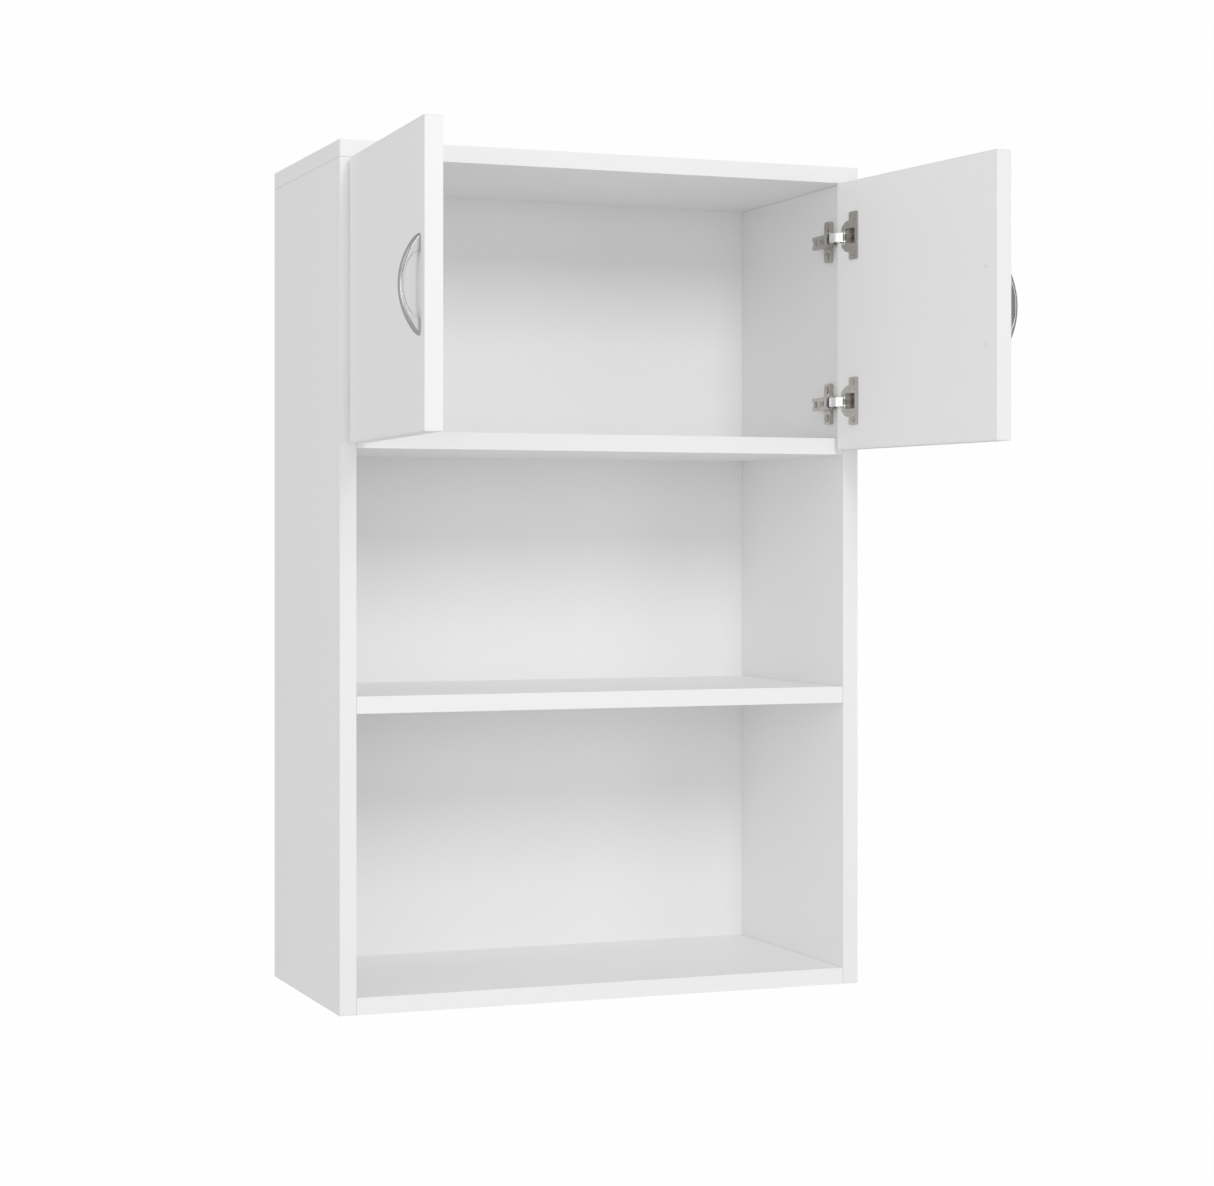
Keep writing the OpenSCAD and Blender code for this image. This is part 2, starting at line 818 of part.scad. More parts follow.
// The bow seen from the side: x along the handle, y out from the door
module handle_profile() {
    difference() {
        intersection() {
            translate([0, handle_rise - handle_arc_r])
                circle(r = handle_arc_r, $fn = 128);
            translate([-handle_len / 2, 0])
                square([handle_len, handle_rise + 1]);
        }
        translate([0, gap_rise - gap_arc_r])
            circle(r = gap_arc_r, $fn = 128);
    }
}

module handle(side) {
    color(nickel)
        on_door(side)
            translate([handle_x, door_out_y, handle_z])
                difference() {
                    rotate([0, 90, 180])
                        translate([0, 0, -handle_w / 2])
                            linear_extrude(handle_w)
                                handle_profile();
                    for (s = [-1, 1])
                        translate([0, e, s * handle_screw_gap / 2])
                            rod(handle_screw_r + clear, handle_screw_grip + 2 * e, "-y");
                }
}

module handle_screws(side) {
    color(nickel)
        on_door(side)
            for (s = [-1, 1])
                translate([handle_x, door_in_y, handle_z + s * handle_screw_gap / 2])
                    rotate([90, 0, 0])
                        difference() {
                            union() {
                                cylinder(r = handle_screw_r, h = board + handle_screw_grip);
                                cylinder(r1 = handle_head_r, r2 = handle_screw_r, h = handle_head_t);
                            }
                            cross_slot(handle_slot[0], handle_slot[1]);
                        }
}

top_panel();
side_panel("left");  // left_side_panel
side_panel("right");  // right_side_panel
fixed_board(board, "underside");  // bottom_panel
fixed_board(middle_shelf_z, "top");  // middle_shelf
fixed_board(lower_shelf_z, "underside");  // lower_shelf
back_panel();
back_panel_nails();
board_dowels();
cam_bolts();
cam_locks();
confirmat_screws();
screw_caps();
hanging_plate("left");  // left_hanging_plate
hanging_plate("right");  // right_hanging_plate
hanging_plate_screws();
mounting_plate("left", hinge_zs[0]);  // left_upper_mounting_plate
mounting_plate("left", hinge_zs[1]);  // left_lower_mounting_plate
mounting_plate("right", hinge_zs[0]);  // right_upper_mounting_plate
mounting_plate("right", hinge_zs[1]);  // right_lower_mounting_plate
mounting_plate_screws();
hinge_arm("left", hinge_zs[0]);  // left_upper_hinge_arm
hinge_arm("left", hinge_zs[1]);  // left_lower_hinge_arm
hinge_arm("right", hinge_zs[0]);  // right_upper_hinge_arm
hinge_arm("right", hinge_zs[1]);  // right_lower_hinge_arm
arm_fixing_screws();
arm_depth_screws();
arm_pins();
hinge_link("left", hinge_zs[0]);  // left_upper_hinge_link
hinge_link("left", hinge_zs[1]);  // left_lower_hinge_link
hinge_link("right", hinge_zs[0]);  // right_upper_hinge_link
hinge_link("right", hinge_zs[1]);  // right_lower_hinge_link
door("left");  // left_door
hinge_cup("left", hinge_zs[0]);  // left_upper_hinge_cup
hinge_cup("left", hinge_zs[1]);  // left_lower_hinge_cup
cup_screws("left");  // left_cup_screws
cup_pins("left");  // left_cup_pins
closing_springs("left");  // left_closing_springs
handle("left");  // left_handle
handle_screws("left");  // left_handle_screws
door("right");  // right_door
hinge_cup("right", hinge_zs[0]);  // right_upper_hinge_cup
hinge_cup("right", hinge_zs[1]);  // right_lower_hinge_cup
cup_screws("right");  // right_cup_screws
cup_pins("right");  // right_cup_pins
closing_springs("right");  // right_closing_springs
handle("right");  // right_handle
handle_screws("right");  // right_handle_screws
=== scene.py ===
import math

import bmesh
import bpy
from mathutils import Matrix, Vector


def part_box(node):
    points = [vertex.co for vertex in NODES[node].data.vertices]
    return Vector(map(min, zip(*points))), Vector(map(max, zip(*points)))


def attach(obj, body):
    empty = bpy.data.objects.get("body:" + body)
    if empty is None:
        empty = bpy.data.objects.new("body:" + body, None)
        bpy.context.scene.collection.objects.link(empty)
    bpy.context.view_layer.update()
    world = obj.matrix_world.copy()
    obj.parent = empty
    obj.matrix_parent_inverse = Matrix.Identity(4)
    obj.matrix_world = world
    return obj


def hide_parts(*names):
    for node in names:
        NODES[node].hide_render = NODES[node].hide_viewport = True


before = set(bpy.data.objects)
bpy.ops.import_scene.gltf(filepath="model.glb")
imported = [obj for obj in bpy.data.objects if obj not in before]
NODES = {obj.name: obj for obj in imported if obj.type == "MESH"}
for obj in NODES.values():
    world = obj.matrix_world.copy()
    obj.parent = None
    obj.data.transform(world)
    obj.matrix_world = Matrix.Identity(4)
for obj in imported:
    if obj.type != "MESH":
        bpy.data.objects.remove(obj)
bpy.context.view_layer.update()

SCENE = bpy.context.scene

# ---------------------------------------------------------------- places

SIDES = ("left", "right")
OPEN = {"left": 92.0, "right": 97.0}        # how far each door stands open, in degrees
X, Y, Z = 0, 1, 2                           # numbers of the axes
LOW, HIGH = 0, 1                            # numbers of a box's two corners
UP = Vector((0, 0, 1))


def door_axes(side):
    """Unit vectors of an open door: along it towards its free edge, and out of its outer face."""
    turn = math.radians(OPEN[side])
    flip = 1 if side == "left" else -1
    along = Vector((flip * math.cos(turn), -math.sin(turn), 0))
    outward = Vector((-flip * math.sin(turn), -math.cos(turn), 0))
    return along, outward


def extent(node, axis):
    """The least and the greatest reach of a CAD piece along an axis."""
    reach = [v.co.dot(axis) for v in NODES[node].data.vertices]
    return min(reach), max(reach)


# ---------------------------------------------------------------- shader nodes


def feed(tree, socket, value):
    """Link another node's output into a socket, or set the socket's own value."""
    if isinstance(value, bpy.types.NodeSocket):
        tree.links.new(value, socket)
    else:
        socket.default_value = value


def add_node(tree, kind, inputs, **attributes):
    made = tree.nodes.new("ShaderNode" + kind)
    for key, value in attributes.items():
        setattr(made, key, value)
    for key, value in inputs.items():
        feed(tree, made.inputs[key], value)
    return made


class Shade:
    """A material round one Principled shader, with short calls for its nodes.

    Lengths are metres, and a noise's scale is its number of cells in a metre.
    """

    NOISE_LOW, NOISE_HIGH = 0.3, 0.7        # between these lies nearly all of a noise

    def __init__(self, name, colour, **sockets):
        self.mat = bpy.data.materials.new(name)
        self.mat.use_nodes = True
        self.tree = self.mat.node_tree
        self.bsdf = self.tree.nodes["Principled BSDF"]
        self.set("Base Color", (*colour, 1))
        for key, value in sockets.items():
            self.set(key.replace("_", " "), value)
        self.coord = self.tree.nodes.new("ShaderNodeTexCoord").outputs["Object"]

    def set(self, socket, value):
        feed(self.tree, self.bsdf.inputs[socket], value)

    def node(self, kind, inputs, out=0, **attributes):
        return add_node(self.tree, kind, inputs, **attributes).outputs[out]

    def math(self, operation, a, b=0.0, clamp=False):
        return self.node("Math", {0: a, 1: b}, operation=operation, use_clamp=clamp)

    def most(self, values):
        """The greatest of some values."""
        greatest = values[0]
        for value in values[1:]:
            greatest = self.math("MAXIMUM", greatest, value)
        return greatest

    def noise(self, scale, detail, rough, vector=None, distortion=0.0):
        vector = self.coord if vector is None else vector
        return self.node("TexNoise", {"Vector": vector, "Scale": scale, "Detail": detail,
                                      "Roughness": rough, "Distortion": distortion})

    def stretch(self, scale, turn=(0, 0, 0)):
        return self.node("Mapping", {"Vector": self.coord, "Scale": scale, "Rotation": turn})

    def span(self, value, low, high, to_low=0.0, to_high=1.0):
        """A value's range from low to high taken to another range, and held at its ends."""
        return self.node("MapRange", {"Value": value, "From Min": low, "From Max": high,
                                      "To Min": to_low, "To Max": to_high})

    def spread(self, noise, to_low=0.0, to_high=1.0):
        """A noise's usual range taken to another range."""
        return self.span(noise, self.NOISE_LOW, self.NOISE_HIGH, to_low, to_high)

    def line(self, coordinate, place, half, faded, strength=1.0):
        """A line where a coordinate has one value: full out to half, and gone at faded."""
        off = self.math("ABSOLUTE", self.math("SUBTRACT", coordinate, place))
        return self.span(off, half, faded, strength, 0.0)

    def mix(self, factor, a, b):
        a, b = [(*c, 1) if isinstance(c, tuple) and len(c) == 3 else c for c in (a, b)]
        # 0, 6 and 7 are the factor and the two colours of a Mix node
        return add_node(self.tree, "Mix", {0: factor, 6: a, 7: b}, data_type="RGBA").outputs[2]

    def bump(self, height, strength=1.0):
        return self.node("Bump", {"Height": height, "Distance": 1.0, "Strength": strength})

    def split(self, vector):
        return add_node(self.tree, "SeparateXYZ", {0: vector}).outputs

    def normal(self):
        return self.node("TexCoord", {}, out="Normal")


# ---------------------------------------------------------------- boards

WHITE = (0.86, 0.86, 0.865)
FACING_LIGHT, FACING_DARK = (0.872, 0.872, 0.878), (0.860, 0.861, 0.865)
SPECK = (0.78, 0.78, 0.79)
RUBBED = (0.91, 0.91, 0.91)
HAIRLINE = (0.45, 0.44, 0.42)
SEAM_SHADE = (0.29, 0.285, 0.275)                 # painted shade: the dark line of shadow where two boards meet
CHIP_LIGHT, CHIP_MID, CHIP_DARK = (0.66, 0.52, 0.34), (0.50, 0.37, 0.23), (0.22, 0.15, 0.09)
LACQUER_LIGHT, LACQUER_DARK = (0.872, 0.872, 0.878), (0.858, 0.859, 0.864)
FIBRE_DARK, FIBRE_LIGHT, FIBRE_CLOUD = (0.20, 0.105, 0.05), (0.36, 0.21, 0.11), (0.29, 0.165, 0.085)

# scale, detail and roughness of each noise
MOTTLE, SPECKS, PATCHES = (3.1, 5, 0.6), (1900, 2, 0.5), (22, 4, 0.6)
BOARD_GLOSS, PEARL, WAVE = (60, 4, 0.65), (1050, 3, 0.6), (38, 2, 0.5)
CHIP_GAPS = (700, 3, 0.6)
FIBRES, FIBRE_CLOUDS = (420, 4, 0.7), (9, 4, 0.6)
LACQUER_MOTTLE, LACQUER_GLOSS, LACQUER_GRAIN = (3.7, 4, 0.6), (70, 3, 0.6), (900, 3, 0.6)
CHIP_SCALE, CHIP_STRETCH = 520.0, (1.0, 1.0, 0.45)
WIRE_SCALE = 180.0

# where in its noise each of them begins and is full
PATCHES_FROM, SPECKS_FROM, GAPS_FROM = (0.42, 0.75), (0.66, 0.74), (0.55, 0.75)
FIBRES_FROM, FIBRE_CLOUDS_FROM = (0.35, 0.68), (0.35, 0.7)
# the part of a normal that points to the rear: where a raw face begins and is full
CHIP_FACES, FIBRE_FACES = (0.7, 0.9), (0.2, 0.6)

BOARD_ROUGH, LACQUER_ROUGH = (0.35, 0.47), (0.42, 0.52)
STRIP = 0.0010                              # thickness of an edge strip
HAIRLINE_HALF, HAIRLINE_FADED = 0.00005, 0.00016
# how wide the painted shade lines at the joints are: full out to the first, gone at the second
SEAM_SHADE_HALF, SEAM_SHADE_FADED = 0.0004, 0.0010
RUB_LEAST, RUB_MOST = 0.0004, 0.0022        # how far from an edge a board is rubbed
BARE_FROM, BARE_FULL = 0.0004, 0.0001       # how close to its rear a board is raw
PEARL_H, WAVE_H, GROOVE_H, CHIP_H = 0.00004, 0.00012, 0.00006, 0.0002
LACQUER_H, SCREEN_H, FIBRE_H = 0.00005, 0.00025, 0.0002

RUB_SHOWS, HAIRLINE_SHOWS, SPECK_SHOWS, GAP_SHOWS, CLOUD_SHOWS = 0.35, 0.45, 0.35, 0.7, 0.5
RUB_POLISH, CHIP_DULL, FIBRE_DULL = 0.12, 0.45, 0.3
BOARD_BUMP = 0.9
# how dark the painted shade lines are, in the boards' joints and in the back panel's rear corners
JOINT_SHADE, BACK_JOINT_SHADE = 0.6, 0.3
PAINTED_LIGHT_LIFT = 1.035                                # painted light: the lower boards' facing is this much lighter, for the extra light on their tops


def rubbed_edges(s, xyz, low, high):
    """How rubbed a board is at a point: only near its edges, and there in patches."""
    near = []
    for axis in (X, Y, Z):
        from_low = s.math("SUBTRACT", xyz[axis], low[axis])
        to_high = s.math("SUBTRACT", high[axis], xyz[axis])
        near.append(s.math("MINIMUM", from_low, to_high))
    # the middle one of the three distances is small only where two faces meet
    smaller = s.math("MINIMUM", near[X], near[Y])
    larger = s.math("MAXIMUM", near[X], near[Y])
    to_edge = s.math("MAXIMUM", smaller, s.math("MINIMUM", larger, near[Z]))
    reach = s.span(s.noise(*PATCHES), *PATCHES_FROM, RUB_LEAST, RUB_MOST)
    return s.math("SUBTRACT", 1.0, s.math("DIVIDE", to_edge, reach), clamp=True)


def chipboard(s):
    """Raw chipboard: its colour, and a value that differs from chip to chip."""
    chips = s.node("TexVoronoi", {"Vector": s.stretch(CHIP_STRETCH), "Scale": CHIP_SCALE}, out="Color")
    chip = s.split(chips)[0]
    gaps = s.span(s.noise(*CHIP_GAPS), *GAPS_FROM, 0.0, GAP_SHOWS)
    return s.mix(gaps, s.mix(chip, CHIP_LIGHT, CHIP_MID), CHIP_DARK), chip


def melamine(name, box, strips, joints=(), painted_lift=1.0, raw_rear=False, place=None):
    """White melamine on particle board.

    box is the board's low and high corner. They are in the board's own frame where place gives that frame's
    origin and heading. strips are the faces with an edge strip, as (axis, corner), and joints the faces that
    meet another board, as (axis, corner, darkness), each of which gets a dark line of painted shade. lift
    makes the facing a little lighter, which is painted light.
    """
    s = Shade(name, WHITE, Roughness=0.4, Specular_IOR_Level=0.42)
    if place:
        origin, heading = place
        s.coord = s.node("Mapping", {"Vector": s.coord, "Location": origin, "Rotation": (0, 0, heading)},
                         vector_type="TEXTURE")
    low, high = box
    xyz = s.split(s.coord)
    worn = rubbed_edges(s, xyz, low, high)
    hairlines = []
    for axis, corner in strips:
        depth = s.math("ABSOLUTE", s.math("SUBTRACT", xyz[axis], box[corner][axis]))
        hairlines.append(s.line(depth, STRIP, HAIRLINE_HALF, HAIRLINE_FADED))
    hairline = s.most(hairlines)

    # painted light: lift makes the facing lighter on boards whose tops should look more brightly lit
    light, dark = [tuple(c * painted_lift for c in tone) for tone in (FACING_LIGHT, FACING_DARK)]
    colour = s.mix(s.spread(s.noise(*MOTTLE)), light, dark)
    colour = s.mix(s.span(s.noise(*SPECKS), *SPECKS_FROM, 0.0, SPECK_SHOWS), colour, SPECK)
    colour = s.mix(s.math("MULTIPLY", worn, RUB_SHOWS), colour, RUBBED)
    colour = s.mix(s.math("MULTIPLY", hairline, HAIRLINE_SHOWS), colour, HAIRLINE)
    # painted shade: a dark line along each joint with another board, where shadow falls in the corner
    if joints:
        seam_shades = [s.line(xyz[axis], box[corner][axis], SEAM_SHADE_HALF, SEAM_SHADE_FADED, darkness)
                 for axis, corner, darkness in joints]
        colour = s.mix(s.most(seam_shades), colour, SEAM_SHADE)
    rough = s.spread(s.noise(*BOARD_GLOSS), *BOARD_ROUGH)
    rough = s.math("SUBTRACT", rough, s.math("MULTIPLY", worn, RUB_POLISH))
    pearl = s.math("MULTIPLY", s.noise(*PEARL), PEARL_H)
    wave = s.math("MULTIPLY", s.noise(*WAVE), WAVE_H)
    height = s.math("SUBTRACT", s.math("ADD", pearl, wave), s.math("MULTIPLY", hairline, GROOVE_H))
    if raw_rear:
        board, chip = chipboard(s)
        faces_rear = s.span(s.split(s.normal())[Y], *CHIP_FACES)
        at_rear = s.span(xyz[Y], high[Y] - BARE_FROM, high[Y] - BARE_FULL)
        bare = s.math("MULTIPLY", faces_rear, at_rear)
        colour = s.mix(bare, colour, board)
        rough = s.math("ADD", rough, s.math("MULTIPLY", bare, CHIP_DULL))
        height = s.math("ADD", height, s.math("MULTIPLY", s.math("MULTIPLY", bare, chip), CHIP_H))
    s.set("Base Color", colour)
    s.set("Roughness", rough)
    s.set("Normal", s.bump(height, BOARD_BUMP))
    return s.mat


def door_melamine(side):
    """A door's melamine, with an edge strip on each of its four edges."""
    name = side + "_door"
    along, outward = door_axes(side)
    reaches = [extent(name, axis) for axis in (along, outward, UP)]
    first, inner, bottom = [low for low, high in reaches]
    width, thick, tall = [high - low for low, high in reaches]
    # in the door's own frame Y runs out of the right door and into the left one
    rear, front = (0, thick) if side == "right" else (-thick, 0)
    return melamine("melamine_" + name, ((0, rear, 0), (width, front, tall)),
                    [(X, LOW), (X, HIGH), (Z, LOW), (Z, HIGH)],
                    place=(along * first + outward * inner + UP * bottom, math.atan2(along.y, along.x)))


def hardboard():
    """White lacquer towards the compartments, pressed brown fibre towards the wall, with a dark line of
    painted shade at each of its two ends.
    """
    s = Shade("hardboard_white_and_brown", WHITE, Roughness=0.5, Specular_IOR_Level=0.35)
    fibres = s.noise(*FIBRES, vector=s.stretch((1.0, 1.0, 0.25), turn=(0, 0.4, 0)), distortion=1.5)
    brown = s.mix(s.span(fibres, *FIBRES_FROM), FIBRE_DARK, FIBRE_LIGHT)
    brown = s.mix(s.span(s.noise(*FIBRE_CLOUDS), *FIBRE_CLOUDS_FROM, 0.0, CLOUD_SHOWS), brown, FIBRE_CLOUD)
    # the marks of the press's wire screen
    wires_x = s.node("TexWave", {"Vector": s.stretch((1, 0, 0)), "Scale": WIRE_SCALE}, bands_direction="X")
    wires_z = s.node("TexWave", {"Vector": s.stretch((0, 0, 1)), "Scale": WIRE_SCALE}, bands_direction="Z")
    screen = s.math("MULTIPLY", wires_x, wires_z)
    rear = s.span(s.split(s.normal())[Y], *FIBRE_FACES)
    white = s.mix(s.spread(s.noise(*LACQUER_MOTTLE)), LACQUER_LIGHT, LACQUER_DARK)
    xyz = s.split(s.coord)
    # painted shade: dark lines at the panel's two ends, in the inner rear corners where it meets the side
    # panels
    ends = s.most([s.line(xyz[X], corner[X], SEAM_SHADE_HALF, SEAM_SHADE_FADED, BACK_JOINT_SHADE)
                   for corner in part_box("back_panel")])
    s.set("Base Color", s.mix(rear, s.mix(ends, white, SEAM_SHADE), brown))
    s.set("Roughness", s.math("ADD", s.spread(s.noise(*LACQUER_GLOSS), *LACQUER_ROUGH),
                              s.math("MULTIPLY", rear, FIBRE_DULL)))
    marks = s.math("ADD", s.math("MULTIPLY", screen, SCREEN_H), s.math("MULTIPLY", fibres, FIBRE_H))
    grain = s.math("MULTIPLY", s.noise(*LACQUER_GRAIN), LACQUER_H)
    s.set("Normal", s.bump(s.math("ADD", grain, s.math("MULTIPLY", rear, marks)), BOARD_BUMP))
    return s.mat


# ---------------------------------------------------------------- metal, beech and plastic

BRUSH_SHOWS = 0.55                          # how much of the darker tone the brushing has
BRUSH_ROUGH = (-0.05, 0.06)                 # what the brushing adds to the roughness, least and most
METAL_CLOUD = (85, 5, 0.65)                 # scale, detail and roughness of the noise
DULL_SPOTS, DULL_CLOUDS = (0.55, 0.8), (0.4, 0.8)
CLOUD_ROUGH = 0.10                          # what a dull cloud adds to the roughness
METAL_BUMP = 0.8
BEECH_DARK, BEECH_LIGHT, BEECH_FLECK = (0.70, 0.50, 0.31), (0.82, 0.63, 0.43), (0.45, 0.29, 0.17)
BEECH_RINGS, FLECK_SCALE, RING_H = (260, 5, 0.6), 1500.0, 0.0001
PLASTIC_DARK, PLASTIC_LIGHT = (0.83, 0.83, 0.83), (0.86, 0.86, 0.855)
PLASTIC_GRAIN, PLASTIC_MOTTLE, PLASTIC_H = (2600, 2, 0.5), (120, 3, 0.5), 0.00003


def metal(name, colour, dark, rough, spots, brush=(1, 1, 1), brush_scale=900, grain=0.00002):
    """Plated steel: brushed or tumbled grain, cloudy gloss, dull spots."""
    s = Shade(name, colour, Metallic=1.0, Roughness=rough)
    lines = s.noise(brush_scale, 4, 0.6, vector=s.stretch(brush))
    cloud = s.noise(*METAL_CLOUD)
    mixed = s.mix(s.spread(lines, 0.0, BRUSH_SHOWS), colour, dark)
    s.set("Base Color", s.mix(s.span(cloud, *DULL_SPOTS, 0.0, spots), mixed, dark))
    least, greatest = [rough + more for more in BRUSH_ROUGH]
    s.set("Roughness", s.math("ADD", s.spread(lines, least, greatest),
                              s.span(cloud, *DULL_CLOUDS, 0.0, CLOUD_ROUGH)))
    s.set("Normal", s.bump(s.math("MULTIPLY", lines, grain), METAL_BUMP))
    return s.mat


def beech():
    """Turned beech: rings and flecks that run along the dowels."""
    s = Shade("turned_beech", (0.72, 0.52, 0.33), Roughness=0.6)
    rings = s.noise(*BEECH_RINGS, vector=s.stretch((0.12, 1.0, 1.0)), distortion=0.4)
    flecks = s.node("TexVoronoi", {"Vector": s.stretch((0.2, 1.0, 1.0)), "Scale": FLECK_SCALE})
    colour = s.mix(s.span(rings, 0.35, 0.65), BEECH_DARK, BEECH_LIGHT)
    colour = s.mix(s.span(flecks, 0.0, 0.25, 0.5, 0.0), colour, BEECH_FLECK)
    s.set("Base Color", colour)
    s.set("Roughness", s.spread(rings, 0.55, 0.7))
    s.set("Normal", s.bump(s.math("MULTIPLY", rings, RING_H)))
    return s.mat


def white_plastic():
    """Moulded white plastic with a fine grain."""
    s = Shade("white_cap_plastic", (0.84, 0.84, 0.84), Roughness=0.35, Specular_IOR_Level=0.5)
    grain = s.noise(*PLASTIC_GRAIN)
    s.set("Base Color", s.mix(s.noise(*PLASTIC_MOTTLE), PLASTIC_DARK, PLASTIC_LIGHT))
    s.set("Roughness", s.spread(grain, 0.3, 0.42))
    s.set("Normal", s.bump(s.math("MULTIPLY", grain, PLASTIC_H)))
    return s.mat


NICKEL = metal("nickel_plated_steel", (0.46, 0.428, 0.388), (0.27, 0.25, 0.224), rough=0.25, spots=0.5)
BRIGHT = metal("bright_plated_steel", (0.95, 0.95, 0.945), (0.88, 0.88, 0.88), rough=0.26, spots=0.1,
               brush=(1, 1, 0.15))
PIN_STEEL = metal("pin_steel", (0.46, 0.445, 0.425), (0.30, 0.29, 0.275), rough=0.3, spots=0.3,
                  brush=(1, 1, 0.2))
SATIN = metal("satin_nickel", (0.40, 0.393, 0.383), (0.33, 0.324, 0.315), rough=0.21, spots=0.12,
              brush=(1.0, 1.0, 0.05), brush_scale=1600, grain=0.00001)
ZINC = metal("zinc_plated_steel", (0.66, 0.68, 0.71), (0.50, 0.51, 0.53), rough=0.34, spots=0.35,
             brush_scale=420)

# ---------------------------------------------------------------- which piece has which finish

# painted shade lines where a shelf's or the bottom's two ends meet the side panels, and where the side panels
# meet the top
SHADE_AT_BOTH_ENDS = [(X, LOW, JOINT_SHADE), (X, HIGH, JOINT_SHADE)]
SIDE_PANEL = {"strips": [(Y, LOW), (Z, LOW)], "joints": [(Z, HIGH, JOINT_SHADE)], "raw_rear": True}
BOARDS = {
    "top_panel": {"strips": [(Y, LOW), (X, LOW), (X, HIGH)], "raw_rear": True},
    "left_side_panel": SIDE_PANEL,
    "right_side_panel": SIDE_PANEL,
    # the bottom panel and the lower shelf get a lighter facing, which is painted light
    "bottom_panel": {"strips": [(Y, LOW)], "joints": SHADE_AT_BOTH_ENDS, "painted_lift": PAINTED_LIGHT_LIFT},
    "middle_shelf": {"strips": [(Y, LOW)], "joints": SHADE_AT_BOTH_ENDS},
    "lower_shelf": {"strips": [(Y, LOW)], "joints": SHADE_AT_BOTH_ENDS, "painted_lift": PAINTED_LIGHT_LIFT},
}
HINGE_STEEL = [n for n in NODES if n.endswith(("mounting_plate", "hinge_arm", "hinge_cup"))]
LINKS = [n for n in NODES if n.endswith("hinge_link")]
PINS = [n for n in NODES if n.endswith(("closing_springs", "arm_pins", "cup_pins"))]
HINGE_SCREWS = ["mounting_plate_screws", "arm_fixing_screws", "arm_depth_screws",
                "left_cup_screws", "right_cup_screws"]
HANGING_PLATES = ["left_hanging_plate", "right_hanging_plate"]
FIXINGS = ["back_panel_nails", "cam_bolts", "cam_locks", "confirmat_screws", "hanging_plate_screws"]

BOARD_EASE, STEEL_EASE, PLATE_EASE = 0.0004, 0.0003, 0.00025
EASE_SEGMENTS, EASE_ANGLE = 2, 35


def paint(names, material):
    for name in names:
        slots = NODES[name].data.materials
        slots.clear()
        slots.append(material)


def soften(names, width):
    """Ease the sharp edges of some pieces."""
    for name in names:
        bevel = NODES[name].modifiers.new("soft_edges", "BEVEL")
        bevel.width = width
        bevel.segments = EASE_SEGMENTS
        bevel.limit_method = "ANGLE"
        bevel.angle_limit = math.radians(EASE_ANGLE)
        bevel.harden_normals = True
        bevel.use_clamp_overlap = True


for board_name, board in BOARDS.items():
    paint([board_name], melamine("melamine_" + board_name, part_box(board_name), **board))
for door_side in SIDES:
    paint([door_side + "_door"], door_melamine(door_side))
paint(["back_panel"], hardboard())
paint(HINGE_STEEL + HINGE_SCREWS, NICKEL)
paint(LINKS, BRIGHT)
paint(PINS, PIN_STEEL)
paint(FIXINGS + HANGING_PLATES, ZINC)
paint(["board_dowels"], beech())
paint(["screw_caps", "left_handle_screws", "right_handle_screws"], white_plastic())

soften(list(BOARDS) + ["left_door", "right_door"], BOARD_EASE)
soften(HINGE_STEEL, STEEL_EASE)
soften(["screw_caps"] + HANGING_PLATES, PLATE_EASE)

# ---------------------------------------------------------------- bow handles

FOOT = 0.016                                # length of each foot
GAP_RISE = 0.016                            # from the door to the bow's inner side
GAP_POWERS = (2.5, 0.7)                     # the gap's outline; 2 and 0.5 would be an ellipse
TIP_H = 0.0025                              # height of the blunt tips
TIP_ROUND, TIP_DROP = 0.004, 0.88           # length over which a tip rounds off, and how far
LAST_RING = 0.9995                          # the last ring lies just short of the tip, to keep some width
END_POWER = 2.4                             # the ends as seen from in front; 2 would be half a circle
NARROWING = 0.1                             # the middle is this much narrower than the feet
CROWN_H, CROWN_SHARE = 0.0042, 0.8          # height of the rounded crown, and its greatest share of the bow's
CROWN_POWER = 0.95                          # the crown's section; 1 would be half an ellipse
EASE, EASE_OF_HEIGHT, EASE_OF_WIDTH = 0.0008, 0.2, 0.6
STATIONS, CROWN_STEPS, EASE_STEPS = 120, 20, 4
SAME_PLACE, NO_LENGTH = 0.00001, 0.000005   # closer points are one, and shorter edges go
SHARP_ANGLE = 38


def bow_outline(z, half_len, half_w, rise):
    """A bow's half width, inner side and outer side at a height z above its middle."""
    outer_r = (half_len ** 2 + (rise - TIP_H) ** 2) / (2 * (rise - TIP_H))
    top = math.sqrt(outer_r ** 2 - z ** 2) - (outer_r - rise)
    rounding = max(0.0, abs(z) - (half_len - TIP_ROUND)) / TIP_ROUND
    top *= math.sqrt(1 - TIP_DROP * rounding ** 2)
    gap_half = half_len - FOOT
    low = 0.0
    if abs(z) < gap_half:
        low = GAP_RISE * (1 - (abs(z) / gap_half) ** GAP_POWERS[0]) ** GAP_POWERS[1]
    past = max(0.0, abs(z) - (half_len - half_w)) / half_w
    waist = 1 - NARROWING + NARROWING * min(1.0, (z / gap_half) ** 2)
    wide = half_w * math.sqrt(max(0.0, 1 - past ** END_POWER)) * waist
    return wide, low, top


def bow_section(wide, low, top):
    """The points round a bow's section, as (across it, out from the door): two eased corners and a crown."""
    crown = min(CROWN_H, (top - low) * CROWN_SHARE)
    easing = min(EASE, (top - low) * EASE_OF_HEIGHT, wide * EASE_OF_WIDTH)
    corner = []
    for k in range(EASE_STEPS + 1):
        a = math.pi / 2 * k / EASE_STEPS
        corner.append((wide - easing * (1 - math.sin(a)), low + easing * (1 - math.cos(a))))
    arch = []
    for k in range(CROWN_STEPS + 1):
        a = math.pi * k / CROWN_STEPS
        arch.append((wide * math.copysign(abs(math.cos(a)) ** CROWN_POWER, math.cos(a)),
                     top - crown + crown * math.sin(a)))
    return corner + arch + [(-across, out) for across, out in reversed(corner)]


def skin(shape, rings):
    """Faces from ring to ring of points, and one over each end."""
    for first, second in zip(rings, rings[1:]):
        for k in range(len(first)):
            after = (k + 1) % len(first)
            shape.faces.new((first[k], first[after], second[after], second[k]))
    shape.faces.new(rings[0])
    shape.faces.new(list(reversed(rings[-1])))


